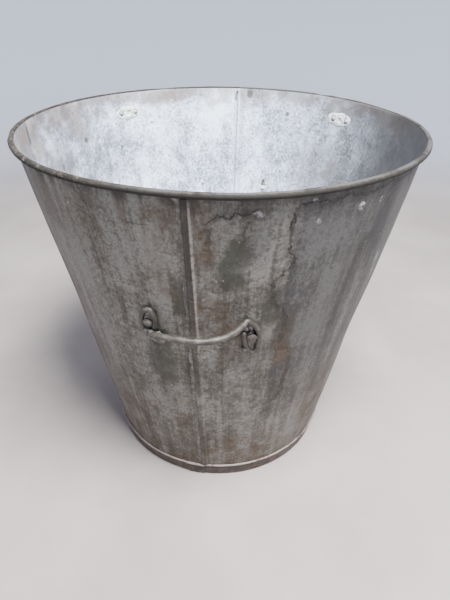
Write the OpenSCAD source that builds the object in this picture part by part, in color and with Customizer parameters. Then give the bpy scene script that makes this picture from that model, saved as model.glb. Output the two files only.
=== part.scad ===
// Conical galvanised tub: two wall sheets locked together by two side seams and rolled over a rim
// wire, a flanged bottom disc, a beaded foot hoop and two riveted rod handles.
// The origin is on the floor at the tub's axis. -Y is the front, where one side seam and one
// handle are.

/* [Tub] */
// Outside diameter over the rolled rim
rim_d = 600; // [440:5:760]
// Outside diameter of the foot hoop at the floor
foot_d = 392; // [300:1:430]
// Height from the floor to the top of the rim
tub_h = 564; // [440:1:700]
// Thickness of the galvanised sheet
sheet_t = 0.9; // [0.7:0.05:1.2]

/* [Rim and side seams] */
// Diameter of the wire inside the rolled rim
rim_wire_d = 6; // [5:0.5:9]
// Width of the flat face of a folded side seam
seam_w = 8; // [7:0.5:12]
// Width of the slope beside a side seam, where the sheet steps down to the wall
seam_step_w = 4; // [3:0.5:6]
// Width of the solder run beside a side seam
seam_solder_w = 5; // [3:0.5:7]

/* [Foot] */
// Height of the middle of the foot hoop's bead above the floor
bead_z = 27; // [20:1:40]
// Radius of the foot hoop's bead
bead_r = 2.6; // [2:0.1:4]
// Thickness of the foot hoop
hoop_t = 1.2; // [0.8:0.1:2]
// Height of the top of the bottom disc above the floor
bottom_z = 24; // [18:1:30]

/* [Handles] */
// Diameter of the handle rod at its eyes
rod_d = 7.2; // [6:0.2:8]
// Diameter of the handle rod in the middle of the grip
grip_d = 9.4; // [7:0.2:12]
// Height of the middle of the handles above the floor
handle_z = 366; // [250:1:450]
// Distance between the rivets of a handle, along the wall
eye_pitch = 132.5; // [120:0.5:150]
// Width of an eye between the middles of the rod
eye_w = 19; // [18.5:0.5:22]
// Height of a handle's left eye between the middles of the rod
left_eye_h = 45; // [40:1:50]
// Height of a handle's right eye between the middles of the rod
right_eye_h = 61; // [50:1:64]
// How far the middle of the grip stands off the wall, to the middle of the rod
grip_bow = 22; // [20:1:35]
// Diameter of a handle rivet's shank
rivet_d = 6; // [4:0.5:8]
// Diameter of a handle rivet's head
rivet_head_d = 14; // [13.5:0.5:16]

/* [Upper rivets] */
// Angle of the left upper rivet pair from the back seam
left_pair_angle = 46; // [30:1:60]
// Angle of the right upper rivet pair from the back seam
right_pair_angle = 43; // [30:1:60]
// Distance of the upper rivets below the top of the rim
pair_drop = 37; // [28:1:60]
// Distance between the two rivets of a pair
pair_pitch = 30; // [24:1:45]

/* [Hidden] */
$fn = 96;

// Clearances between layers of sheet, round the rim wire and between parts that touch
layer_gap = 0.2;
wire_gap = 0.15;
fit_gap = 0.05;

// Rolled rim: the curl's outer radius, the middle of the wire and how far round it the sheet turns
curl_r = rim_wire_d / 2 + wire_gap + sheet_t;
curl_x = rim_d / 2 - curl_r;
curl_z = tub_h - curl_r;
curl_turn = 300;

// The wall runs from its lower edge, tangent to the curl: its lean and its outer radius at a height
wall_z0 = 1.5;
wall_r0 = foot_d / 2 - hoop_t - layer_gap;
dx = curl_x - wall_r0;
dz = curl_z - wall_z0;
lean = atan(dx / dz) - asin((curl_r - sheet_t) / sqrt(dx * dx + dz * dz));
function wall_r(z) = wall_r0 + (z - wall_z0) * tan(lean);

// Side seams: four layers of sheet between the foot hoop and the rolled rim
layer = sheet_t + layer_gap;
seam_h = 3 * layer;
fold_r = (2 * layer_gap + 3 * sheet_t) / 2;
seam_z1 = curl_z - curl_r - 0.6;
seam_z0 = bead_z + bead_r + 3;
seam_len = (seam_z1 - seam_z0) / cos(lean);

// Foot hoop
hoop_z1 = bead_z + bead_r;
lap_angle = 8.5;
lap_lift = hoop_t * 0.6;
hoop_rivet_d = 4;
hoop_rivet_head_h = 1.8;
hoop_rivet_z = bead_z / 2 - 1;

// Bottom disc
flange_h = 19;
flange_gap = 0.1;

// Handles, in wall coordinates: s along the wall, v up the wall, w out from it.
// Each side is a list, the left eye first: where its middle is and half its height.
handle_r = wall_r(handle_z);
rod_w = rod_d / 2 + 0.4;
rod_sides = 12;
eye_shift = 8;
eye_middle = [[eye_shift - eye_pitch / 2, 6.5], [eye_shift + eye_pitch / 2, -10]];
eye_a = eye_w / 2;
eye_b = [left_eye_h / 2, right_eye_h / 2];
eye_splay = 8;
eye_pull = [0, 4.5];
eye_turn = 295;
eye_steps = 26;
grip_steps = 16;
function eye_azimuth(i) = eye_middle[i][0] / handle_r * 180 / PI;
function eye_z(i) = handle_z + eye_middle[i][1] * cos(lean);
burr_d = 13;
burr_t = 1.5;
rivet_gap = 0.3;

// A point of the front wall's outer face, moved w out from it
function on_wall(s, v, w) =
    let (az = s / handle_r * 180 / PI,
         r = handle_r + v * sin(lean) + w * cos(lean),
         z = handle_z + v * cos(lean) - w * sin(lean))
    [r * sin(az), -r * cos(az), z];

// The rod's route: round the left eye to its lowest point, along the grip to the top of the right
// eye, and round that. t is the angle turned from where the grip joins the eye, and the grip pulls
// that end of the eye towards itself.
function eye_point(i, t) =
    let (side = 2 * i - 1, a = side * eye_splay,
         x = side * (eye_a * sin(t) - eye_pull[i] * pow(max(0, cos(t)), 2)), y = side * eye_b[i] * cos(t))
    [eye_middle[i][0] + x * cos(a) - y * sin(a), eye_middle[i][1] + x * sin(a) + y * cos(a), rod_w];
grip_from = eye_point(0, 0);
grip_to = eye_point(1, 0);
function grip_point(q) =
    let (middle = (grip_from + grip_to) / 2, half = (grip_to - grip_from) / 2)
    [middle[0] + half[0] * q, middle[1] + half[1] * pow(q, 3),
     rod_w + (grip_bow - rod_w) * pow(1 - q * q, 0.75)];
left_eye = [for (k = [0 : eye_steps]) eye_point(0, eye_turn * (1 - k / eye_steps))];
grip = [for (k = [1 : grip_steps - 1]) grip_point(2 * k / grip_steps - 1)];
right_eye = [for (k = [0 : eye_steps]) eye_point(1, eye_turn * k / eye_steps)];
rod_route = [for (p = concat(left_eye, grip, right_eye)) on_wall(p[0], p[1], p[2])];
eye_radii = [for (k = [0 : eye_steps]) rod_d / 2];
grip_radii = [for (k = [1 : grip_steps - 1])
    rod_d / 2 + (grip_d - rod_d) / 2 * pow(1 - pow(2 * k / grip_steps - 1, 2), 0.5)];
rod_radii = concat(eye_radii, grip_radii, eye_radii);

// Upper rivets and the solder plug at their height
pair_z = tub_h - pair_drop;
pair_shank_d = 5;
pair_head_d = 10;
pair_half_angle = asin(pair_pitch / 2 / wall_r(pair_z));
function pair_azimuth(side) = side * (180 - (side < 0 ? left_pair_angle : right_pair_angle));
plug_angle = 41;
plug_d = 14;
plug_h = 2.4;

// Vector helpers for the sweep
function unit(v) = v / norm(v);
function along(path, i) =
    unit(path[min(i + 1, len(path) - 1)] - path[max(i - 1, 0)]);
function out_from_axis(p) = unit([p[0], p[1], -norm([p[0], p[1]]) * tan(lean)]);
function ring(path, i, r, n) =
    let (t = along(path, i), o = out_from_axis(path[i]), u = unit(o - (o * t) * t), v = cross(t, u))
    [for (k = [0 : n - 1]) path[i] + r * (cos(360 * k / n) * u + sin(360 * k / n) * v)];

// A rod of n sides along a path, with its radius at each point of the path
module sweep(path, radii, n) {
    rings = len(path);
    points = [for (i = [0 : rings - 1]) each ring(path, i, radii[i], n)];
    sides = [for (i = [0 : rings - 2], k = [0 : n - 1])
        [i * n + k, i * n + (k + 1) % n, (i + 1) * n + (k + 1) % n, (i + 1) * n + k]];
    start_cap = [for (k = [0 : n - 1]) n - 1 - k];
    end_cap = [for (k = [0 : n - 1]) (rings - 1) * n + k];
    polyhedron(points, concat([start_cap], sides, [end_cap]), convexity = 10);
}

// Puts a flat section on the front wall's outer face, its Y pointing out of the wall, and extrudes
// it down the wall from height z
module down_wall(z, length) {
    translate([0, -wall_r(z), z]) rotate([180 + lean, 0, 0])
        linear_extrude(length) children();
}

// Stands a part on the wall at an azimuth and height, its Z pointing out of the wall
module out_of_wall(azimuth, z) {
    rotate([0, 0, azimuth]) translate([0, -wall_r(z), z]) rotate([90 + lean, 0, 0]) children();
}

// A part of a flat ring between two angles
module arc_2d(r_out, r_in, from, to) {
    reach = 2 * r_out;
    step = (to - from) / 4;
    intersection() {
        difference() {
            circle(r_out);
            circle(r_in);
        }
        polygon(concat([[0, 0]],
            [for (i = [0 : 4]) reach * [cos(from + i * step), sin(from + i * step)]]));
    }
}

// Upright profile of a wall sheet with its curl
module wall_profile() {
    n = [cos(lean), -sin(lean)];
    top_out = [curl_x, curl_z] - (curl_r - sheet_t) * n;
    top_in = [curl_x, curl_z] - curl_r * n;
    foot_out = [wall_r0, wall_z0];
    foot_in = [wall_r0 - sheet_t / cos(lean), wall_z0];
    polygon([foot_in, foot_out, top_out, top_in]);
    translate([curl_x, curl_z]) rotate(180 - lean)
        mirror([0, 1]) arc_2d(curl_r, curl_r - sheet_t, 0, curl_turn);
}

// The sheet edge on the outside of a seam: it steps up, runs over the seam and folds back under
module outer_hook() {
    low = layer_gap;
    mid = low + fold_r;
    x0 = -seam_w / 2 + fold_r;
    x1 = seam_w / 2;
    x2 = x1 + seam_step_w;
    polygon([[x0, seam_h - sheet_t], [x1, seam_h - sheet_t], [x2, -sheet_t], [x2 + 0.6, -sheet_t],
        [x2 + 0.6, 0], [x2, 0], [x1, seam_h], [x0, seam_h]]);
    translate([x0, low]) square([seam_w - 2 * fold_r - layer_gap, sheet_t]);
    translate([x0, mid]) arc_2d(fold_r, fold_r - sheet_t, 90, 270);
}

// The sheet edge on the inside of a seam: it runs on under the seam and folds back over
module inner_hook() {
    x0 = -seam_w / 2;
    x1 = seam_w / 2 - fold_r;
    translate([x0 - 0.6, -sheet_t]) square([x1 - x0 + 0.6, sheet_t]);
    translate([x0 + fold_r + layer_gap, layer + layer_gap])
        square([x1 - x0 - fold_r - layer_gap, sheet_t]);
    translate([x1, fold_r - sheet_t]) arc_2d(fold_r, fold_r - sheet_t, -90, 90);
}

// One wall sheet: half a cone, with the outer hook on its front edge and the inner one on its back
module wall_blank() {
    butt_angle = 0.03;
    difference() {
        rotate_extrude(angle = 180 - 2 * butt_angle, start = butt_angle - 90) wall_profile();
        down_wall(seam_z1, seam_len)
            translate([-1, -3]) square([1 + seam_w / 2 + seam_step_w, 6]);
        rotate([0, 0, 180]) down_wall(seam_z1, seam_len)
            translate([-seam_w / 2, -3]) square([seam_w, 6]);
    }
    down_wall(seam_z1, seam_len) outer_hook();
    rotate([0, 0, 180]) down_wall(seam_z1, seam_len) inner_hook();
}

// The blank turned to its side of the tub and punched for the rivets
module wall_sheet(turn) {
    difference() {
        rotate([0, 0, turn]) wall_blank();
        handle_rivet_places() translate([0, 0, -5]) cylinder(d = rivet_d + rivet_gap, h = 10);
        for (side = [-1, 1]) upper_rivet_places(side)
            translate([0, 0, -5]) cylinder(d = pair_shank_d + rivet_gap, h = 10);
    }
}

module wall_sheet_right() { color("#8d8c88") wall_sheet(0); }

module wall_sheet_left() { color("#86847f") wall_sheet(180); }

// Wire in the rolled rim, with its ends butted beside the back seam
module rim_wire() {
    wire_joint = 0.3;
    color("#6e6660") rotate_extrude(angle = 360 - wire_joint, start = 96)
        translate([curl_x, curl_z]) circle(d = rim_wire_d);
}

// Flat disc with a flange turned down inside the wall
module bottom_disc() {
    r_top = wall_r(bottom_z) - sheet_t / cos(lean) - flange_gap;
    r_low = wall_r(bottom_z - flange_h) - sheet_t / cos(lean) - flange_gap;
    color("#9a9c9c") rotate_extrude() polygon([
        [0, bottom_z], [r_top, bottom_z], [r_low, bottom_z - flange_h],
        [r_low - sheet_t, bottom_z - flange_h], [r_top - sheet_t, bottom_z - sheet_t],
        [0, bottom_z - sheet_t]]);
}

// Solder round the bottom, in the corner between the disc and the wall
module bottom_solder() {
    leg = 6;
    r0 = wall_r(bottom_z) - sheet_t / cos(lean) - fit_gap;
    r1 = wall_r(bottom_z + leg) - sheet_t / cos(lean) - fit_gap;
    z0 = bottom_z + fit_gap;
    color("#b4b5b2") rotate_extrude() difference() {
        polygon([[r0 - leg, z0], [r0, z0], [r1, z0 + leg]]);
        translate([r0 - leg, z0 + leg * 1.6]) circle(leg * 1.5);
    }
}

// Solder run along the open edge of a seam's outer fold
module seam_solder_section() {
    x0 = -seam_w / 2;
    difference() {
        polygon([[x0 - seam_solder_w, 0.12], [x0 + fold_r, 0.12], [x0 + fold_r, fold_r],
            [x0, fold_r * 1.1], [x0 - seam_solder_w * 0.45, fold_r * 0.75]]);
        translate([x0 + fold_r, layer_gap + fold_r]) circle(fold_r + fit_gap);
    }
}

module seam_solder() { down_wall(seam_z1, seam_len) seam_solder_section(); }

module front_seam_solder() { color("#a5a49f") seam_solder(); }

module back_seam_solder() { color("#a5a49f") rotate([0, 0, 180]) seam_solder(); }

// Upright profile of the foot hoop: a strip that follows the wall, with a bead along its top
module hoop_profile(out) {
    gap = layer_gap / 2 + out;
    r0 = wall_r(0) + gap;
    r1 = wall_r(bead_z) + gap;
    difference() {
        union() {
            polygon([[r0, 0], [r0 + hoop_t, 0], [r1 + hoop_t, bead_z], [r1, bead_z]]);
            translate([r1 + 0.1, bead_z]) circle(bead_r);
        }
        translate([r1 + 0.1, bead_z]) circle(bead_r - hoop_t);
        polygon([[r0 - 9, -1], [wall_r(-1) + gap, -1], [wall_r(hoop_z1 + 1) + gap, hoop_z1 + 1],
            [r0 - 9, hoop_z1 + 1]]);
    }
}

// Foot hoop: its ends lap beside the front seam, one over the other
module foot_hoop() {
    color("#6f6761") difference() {
        union() {
            rotate_extrude() hoop_profile(0);
            rotate_extrude(angle = lap_angle, start = -90 - lap_angle) hoop_profile(lap_lift);
        }
        hoop_rivet_places() translate([0, 0, -3]) cylinder(d = hoop_rivet_d + rivet_gap, h = 9);
    }
}

// The two rivets of the hoop's lap
module hoop_rivet_places() {
    for (a = [0.28, 0.72]) out_of_wall(-a * lap_angle, hoop_rivet_z) children();
}

// Round head: a cap of a ball, flat side at z = 0
module round_head(d, h) {
    ball_r = (d * d / 4 + h * h) / (2 * h);
    intersection() {
        translate([0, 0, h - ball_r]) sphere(ball_r);
        cylinder(d = 2 * d, h = h + 1);
    }
}

module foot_hoop_rivets() {
    under = hoop_t + lap_lift + layer_gap / 2;
    color("#7d7168") hoop_rivet_places() {
        translate([0, 0, fit_gap]) cylinder(d = hoop_rivet_d, h = under + 1);
        translate([0, 0, under + fit_gap]) round_head(hoop_rivet_d * 2, hoop_rivet_head_h);
    }
}

module handle() { sweep(rod_route, rod_radii, rod_sides); }

module front_handle() { color("#7c7670") handle(); }

module back_handle() { color("#7c7670") rotate([0, 0, 180]) handle(); }

// Where a handle's two rivets go through the wall: eye 0 is the left one of the front handle
module at_eye(side, i) { out_of_wall(side + eye_azimuth(i), eye_z(i)) children(); }

module handle_rivet_places() {
    for (side = [0, 180], i = [0, 1]) at_eye(side, i) children();
}

// Handle rivet: its head bears on both sides of an eye, its tail is closed over a burr inside
module handle_rivet() {
    bear = rod_w + sqrt(pow(rod_d / 2, 2) - pow(eye_a - rivet_head_d / 2, 2)) + fit_gap;
    tail = sheet_t + burr_t + 2 * fit_gap;
    color("#6b4f3e") {
        translate([0, 0, -tail - 1]) cylinder(d = rivet_d, h = bear + tail + 1.2);
        translate([0, 0, bear]) round_head(rivet_head_d, 3.4);
        translate([0, 0, -tail]) mirror([0, 0, 1]) round_head(rivet_d * 1.5, 2.2);
    }
}

// Burr: the washer under a handle rivet's tail
module handle_burr() {
    color("#8b8985") translate([0, 0, -sheet_t - fit_gap - burr_t]) difference() {
        cylinder(d = burr_d, h = burr_t);
        translate([0, 0, -1]) cylinder(d = rivet_d + 2 * fit_gap, h = burr_t + 2);
    }
}

module front_left_handle_rivet() { at_eye(0, 0) handle_rivet(); }
module front_right_handle_rivet() { at_eye(0, 1) handle_rivet(); }
module back_left_handle_rivet() { at_eye(180, 1) handle_rivet(); }
module back_right_handle_rivet() { at_eye(180, 0) handle_rivet(); }
module front_left_handle_burr() { at_eye(0, 0) handle_burr(); }
module front_right_handle_burr() { at_eye(0, 1) handle_burr(); }
module back_left_handle_burr() { at_eye(180, 1) handle_burr(); }
module back_right_handle_burr() { at_eye(180, 0) handle_burr(); }

// Where the two rivets of an upper pair go: side is -1 for the back left and 1 for the back right
module upper_rivet_places(side) {
    for (turn = [-1, 1])
        out_of_wall(pair_azimuth(side) + turn * pair_half_angle, pair_z) children();
}

// Upper rivet pair: large heads inside the wall, tails closed down on the outside
module upper_rivets(side) {
    color("#a9aaa8") upper_rivet_places(side) {
        translate([0, 0, -sheet_t - 1]) cylinder(d = pair_shank_d, h = sheet_t + 1.6);
        translate([0, 0, -sheet_t - fit_gap]) mirror([0, 0, 1]) round_head(pair_head_d, 2.6);
        translate([0, 0, fit_gap]) round_head(pair_shank_d * 1.5, 1.6);
    }
}

module back_left_upper_rivets() { upper_rivets(-1); }
module back_right_upper_rivets() { upper_rivets(1); }

// Solder spread round an upper rivet pair, on the inside of the wall
module solder_patch(side) {
    inner = sheet_t / cos(lean) + fit_gap;
    patch_w = 24;
    patch_t = 1.2;
    low = pair_z - patch_w;
    high = pair_z + patch_w;
    color("#c4c6c4") difference() {
        intersection() {
            rotate_extrude() polygon([
                [wall_r(low) - inner - patch_t, low], [wall_r(low) - inner, low],
                [wall_r(high) - inner, high], [wall_r(high) - inner - patch_t, high]]);
            out_of_wall(pair_azimuth(side), pair_z) translate([0, 0, -9])
                linear_extrude(12) union() {
                    square([pair_pitch, patch_w], center = true);
                    for (x = [-1, 1]) translate([x * pair_pitch / 2, 0]) circle(patch_w / 2);
                }
        }
        upper_rivet_places(side) translate([0, 0, -9]) cylinder(d = pair_head_d + 0.2, h = 12);
    }
}

module back_left_solder_patch() { solder_patch(-1); }
module back_right_solder_patch() { solder_patch(1); }

// Lump of solder on the outside of the wall, over an old hole
module front_right_solder_plug() {
    color("#b9bab6") out_of_wall(plug_angle, pair_z)
        translate([0, 0, fit_gap * 2]) round_head(plug_d, plug_h);
}

wall_sheet_right();
wall_sheet_left();
rim_wire();
bottom_disc();
bottom_solder();
front_seam_solder();
back_seam_solder();
foot_hoop();
foot_hoop_rivets();
front_handle();
back_handle();
front_left_handle_rivet();
front_right_handle_rivet();
back_left_handle_rivet();
back_right_handle_rivet();
front_left_handle_burr();
front_right_handle_burr();
back_left_handle_burr();
back_right_handle_burr();
back_left_upper_rivets();
back_right_upper_rivets();
back_left_solder_patch();
back_right_solder_patch();
front_right_solder_plug();
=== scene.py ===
import functools
import math

import bmesh
import bpy
import numpy as np
from mathutils import Matrix, Vector


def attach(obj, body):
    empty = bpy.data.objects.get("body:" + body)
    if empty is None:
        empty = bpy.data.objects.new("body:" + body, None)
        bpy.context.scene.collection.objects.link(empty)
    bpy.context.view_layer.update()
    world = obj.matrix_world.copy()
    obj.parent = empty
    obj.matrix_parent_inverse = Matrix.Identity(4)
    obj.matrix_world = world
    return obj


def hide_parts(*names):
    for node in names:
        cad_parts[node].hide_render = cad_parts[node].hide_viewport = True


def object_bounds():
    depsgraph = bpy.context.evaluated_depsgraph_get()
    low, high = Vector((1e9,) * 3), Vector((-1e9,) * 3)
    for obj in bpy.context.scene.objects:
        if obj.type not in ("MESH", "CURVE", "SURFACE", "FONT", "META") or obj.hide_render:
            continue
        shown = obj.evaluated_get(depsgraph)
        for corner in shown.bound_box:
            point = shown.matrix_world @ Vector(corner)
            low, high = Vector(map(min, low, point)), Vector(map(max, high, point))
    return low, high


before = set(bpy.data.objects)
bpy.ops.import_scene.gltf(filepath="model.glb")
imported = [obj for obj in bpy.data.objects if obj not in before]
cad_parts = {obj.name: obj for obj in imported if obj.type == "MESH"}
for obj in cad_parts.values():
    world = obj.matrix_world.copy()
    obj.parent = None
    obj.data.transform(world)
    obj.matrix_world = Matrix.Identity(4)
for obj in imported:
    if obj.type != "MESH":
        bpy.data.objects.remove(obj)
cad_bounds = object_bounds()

# A conical galvanised tub. Shapes are worked out in millimetres in the CAD's frame: the origin is on
# the floor at the tub's axis, and azimuth 0 is the front, towards -Y, growing towards +X.
MM = 0.001
DEG = math.pi / 180
FULL_TURN = 2 * math.pi

# ---------------- dimensions, as in part.scad
RIM_R = cad_bounds[1][0] / MM
TUB_H = cad_bounds[1][2] / MM
FOOT_R = 196
SHEET_T = 0.9
WIRE_R = 3
LAYER_GAP = 0.2
CURL_R = WIRE_R + 0.15 + SHEET_T
CURL_X = RIM_R - CURL_R
CURL_Z = TUB_H - CURL_R
CURL_TURN = 300 * DEG
HOOP_T = 1.2
WALL_Z0 = 1.5
WALL_R0 = FOOT_R - HOOP_T - LAYER_GAP
WALL_DX = CURL_X - WALL_R0
WALL_DZ = CURL_Z - WALL_Z0
LEAN = math.atan(WALL_DX / WALL_DZ) - math.asin((CURL_R - SHEET_T) / math.hypot(WALL_DX, WALL_DZ))
SEAM_W = 8
SEAM_STEP_W = 4
SEAM_H = 3 * (SHEET_T + LAYER_GAP)
FOLD_R = (2 * LAYER_GAP + 3 * SHEET_T) / 2
BEAD_Z = 27
BEAD_R = 2.6
HOOP_TOP = BEAD_Z + BEAD_R
SEAM_Z0 = HOOP_TOP + 3
SEAM_Z1 = CURL_Z - CURL_R - 0.6
LAP_ANGLE = 8.5 * DEG
HOOP_RIVET_Z = 12.5
BOTTOM_Z = 24
FLANGE_H = 19
HANDLE_Z = 366
ROD_R = 3.6
GRIP_R = 4.7
ROD_W = ROD_R + 0.4
GRIP_BOW = 22
EYE_MIDDLES = [(-58.25, 6.5), (74.25, -10)]
EYE_HALF_W = 9.5
EYE_HALF_H = [22.5, 30.5]
EYE_SPLAY = 8 * DEG
EYE_PULL = [0, 4.5]
EYE_TURN = 295 * DEG
PAIR_Z = TUB_H - 37
PAIR_AZIMUTH = {"left": -134 * DEG, "right": 137 * DEG}
PAIR_PITCH = 30
PLUG_ANGLE = 41 * DEG

# ---------------- sizes of rivets and solder, which part.scad has as plainer shapes
EYE_HEAD_R = 7
EYE_HEAD_H = 3.3
EYE_TAIL_R = 4.5
EYE_TAIL_H = 2.2
EYE_SHANK_R = 3
BURR_R = 6.5
BURR_T = 1.5
OLD_HEAD_R = 3.75
OLD_HEAD_H = 1.6
OLD_TAIL_R = 5
OLD_TAIL_H = 2.5
OLD_SHANK_R = 2.5
HOOP_HEAD_R = 4
HOOP_HEAD_H = 1.9
HOOP_SHANK_R = 2
FILLET_LEG = 5.6
SEAM_SOLDER_W = 5.4
SEAM_SOLDER_H = 1.65

# ---------------- fineness of the meshes: points round or along each shape
WALL_COLUMNS = 260
WALL_ROWS = 125
CURL_ROWS = 26
WIRE_STEPS = 480
WIRE_SIDES = 14
BOTTOM_STEPS = 240
FILLET_STEPS = 540
SEAM_SOLDER_ROWS = 230
HOOP_STEPS = 560
EYE_STEPS = 70
ROD_SIDES = 22
LATHE_STEPS = 28
BURR_STEPS = 32
BALL_STEPS = 20
BLOB_STEPS = 56
COVE_STEPS = 96
# Radii that the lumps of the wall and of the foot are measured round
WALL_LUMP_R = 250
FOOT_LUMP_R = 200


# ---------------- shape helpers
def smooth(x, low, high):
    """0 at low, 1 at high, with a soft start and end; low may be the larger."""
    t = np.clip((x - low) / (high - low), 0, 1)
    return t * t * (3 - 2 * t)


LUMP_WAVES = 14


def lumps(points, size, seed):
    """A smooth random field of about -1 to 1 with lumps of that size, the same on each run."""
    rng = np.random.default_rng(seed)
    way = rng.normal(size=(3, LUMP_WAVES))
    way /= np.linalg.norm(way, axis=0)
    rate = FULL_TURN / size * rng.uniform(0.5, 1.5, LUMP_WAVES)
    phase = rng.uniform(0, FULL_TURN, LUMP_WAVES)
    return np.sin(points @ (way * rate) + phase).sum(-1) / math.sqrt(2 * LUMP_WAVES)


def circle(count):
    """The angles of that many points round a circle."""
    return np.linspace(0, FULL_TURN, count + 1)[:-1]


def along_from(azimuth, at, r):
    """How far places are from an azimuth in degrees, measured along a circle of that radius."""
    return (np.mod(azimuth - at * DEG + math.pi, FULL_TURN) - math.pi) * r


def turned(azimuth, r, z):
    """Points at an azimuth, a radius and a height, as an array of three coordinates."""
    return np.stack(np.broadcast_arrays(r * np.sin(azimuth), -r * np.cos(azimuth), z), -1)


def wall_r(z):
    """Radius of the wall's outer face before any dent."""
    return WALL_R0 + (z - WALL_Z0) * math.tan(LEAN)


# Dents of the wall: azimuth in degrees, height, half width, half height and depth in millimetres
DENTS = [(-52, 330, 60, 90, 2.2), (-24, 470, 45, 40, 1.1), (27, 300, 50, 80, 1.6), (47, 470, 50, 60, 1.8),
         (78, 260, 70, 80, 2.4), (112, 420, 60, 60, 2.0), (152, 220, 60, 70, 1.8), (198, 450, 70, 50, 1.8),
         (232, 300, 55, 90, 2.4), (268, 480, 60, 50, 2.0), (285, 170, 60, 60, 1.8)]
# Knocks of the rim: azimuth in degrees, half length, how far in and how far down
RIM_KNOCKS = [(147, 13, 1.3, 1.6), (139, 9, 0.2, 0.9), (-66, 16, 0.7, 0.6), (18, 90, 0.0, 1.5),
              (-150, 22, 0.9, 0.7), (118, 60, 2.0, 1.2), (60, 24, 0.6, 0.4)]


def dent(azimuth, z):
    """How far the wall stands in or out at a place. It is 0 beside the rim and the foot hoop."""
    free = smooth(z, 40, 120) * smooth(z, CURL_Z - 10, CURL_Z - 70)
    p = turned(azimuth, WALL_LUMP_R, z)
    out = 0.55 * lumps(p, 230, 1) + 0.22 * lumps(p, 75, 2)
    for at, height, half_w, half_h, depth in DENTS:
        along = along_from(azimuth, at, wall_r(height))
        out = out - depth * np.exp(-((along / half_w) ** 2) - ((z - height) / half_h) ** 2)
    return out * free


def rim_shift(azimuth, z):
    """How far the rim is knocked in and down at an azimuth, fading out down the wall."""
    p = turned(azimuth, WALL_LUMP_R, 0)
    share = smooth(z, CURL_Z - 90, CURL_Z)
    inward = 0.3 + 0.28 * lumps(p, 130, 3) + 0.12 * lumps(p, 22, 4)
    down = 0.3 + 0.28 * lumps(p, 170, 5) + 0.12 * lumps(p, 26, 6)
    for at, half, knock_in, knock_down in RIM_KNOCKS:
        bump = np.exp(-((along_from(azimuth, at, RIM_R) / half) ** 2))
        inward = inward + knock_in * bump
        down = down + knock_down * bump
    return np.maximum(inward, 0.02) * share, np.maximum(down, 0.02) * share


def place(azimuth, r, z):
    """A point of the tub at rest in metres, with the rim's knocks."""
    inward, down = rim_shift(azimuth, z)
    return turned(azimuth, r - inward, z - down) * MM


def on_wall(azimuth, z, out):
    """A point of the wall's outer face moved out along its normal, with the wall's dents, in metres."""
    out = out + dent(azimuth, z)
    return place(azimuth, wall_r(z) + out * math.cos(LEAN), z - out * math.sin(LEAN))


def near(azimuth, z):
    """A function that puts local points x along, y up and w out of the wall round a place on it."""
    def put(local):
        x, y, w = np.moveaxis(np.asarray(local, float), -1, 0)
        return on_wall(azimuth + x / wall_r(z), z + y * math.cos(LEAN), w)
    return put


def grid_faces(rows, columns, wrap_rows=False):
    """The quads between rows of points, each row a closed loop."""
    r, c = np.meshgrid(np.arange(rows if wrap_rows else rows - 1), np.arange(columns), indexing="ij")
    r1, c1 = (r + 1) % rows, (c + 1) % columns
    quads = [r * columns + c, r * columns + c1, r1 * columns + c1, r1 * columns + c]
    return np.stack(quads, -1).reshape(-1, 4)


def unit(vectors):
    """Vectors made 1 long."""
    return vectors / np.linalg.norm(vectors, axis=-1, keepdims=True)


def loop_shape(points, wrap_rows=False):
    """Vertices and faces of a tube through rows of points. Open ends are closed with one face each."""
    points = np.asarray(points, float)
    rows, columns = points.shape[:2]
    faces = grid_faces(rows, columns, wrap_rows).tolist()
    if not wrap_rows:
        faces.append(list(range(columns))[::-1])
        faces.append([(rows - 1) * columns + k for k in range(columns)])
    return points.reshape(-1, 3), faces


def joined(shapes):
    """Several shapes as one list of vertices and one of faces."""
    verts, faces, start = [], [], 0
    for v, f in shapes:
        verts.append(v)
        faces += [[start + i for i in face] for face in f]
        start += len(v)
    return np.concatenate(verts), faces


def closed_mesh(name, shape):
    """A mesh from vertices in metres and faces, which are turned outwards on each closed shell."""
    verts, faces = shape
    mesh = bpy.data.meshes.new(name)
    mesh.from_pydata(np.asarray(verts).tolist(), [], faces)
    shell = bmesh.new()
    shell.from_mesh(mesh)
    bmesh.ops.recalc_face_normals(shell, faces=shell.faces)
    shell.to_mesh(mesh)
    shell.free()
    return mesh


def put_in_scene(name, data):
    """A new object of the scene."""
    obj = bpy.data.objects.new(name, data)
    bpy.context.scene.collection.objects.link(obj)
    return obj


def make_piece(name, shape, finishes, nodes=(), sharp=40, face_finish=None):
    """A piece of the object from its vertices in metres, riding on the tub, in place of CAD nodes."""
    mesh = closed_mesh(name, shape)
    for finish in finishes:
        mesh.materials.append(finish)
    if face_finish is not None:
        mesh.polygons.foreach_set("material_index", np.asarray(face_finish, np.int32))
    mesh.shade_smooth()
    mesh.set_sharp_from_angle(angle=sharp * DEG)
    piece = put_in_scene(name, mesh)
    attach(piece, "root")
    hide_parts(*nodes)


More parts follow.
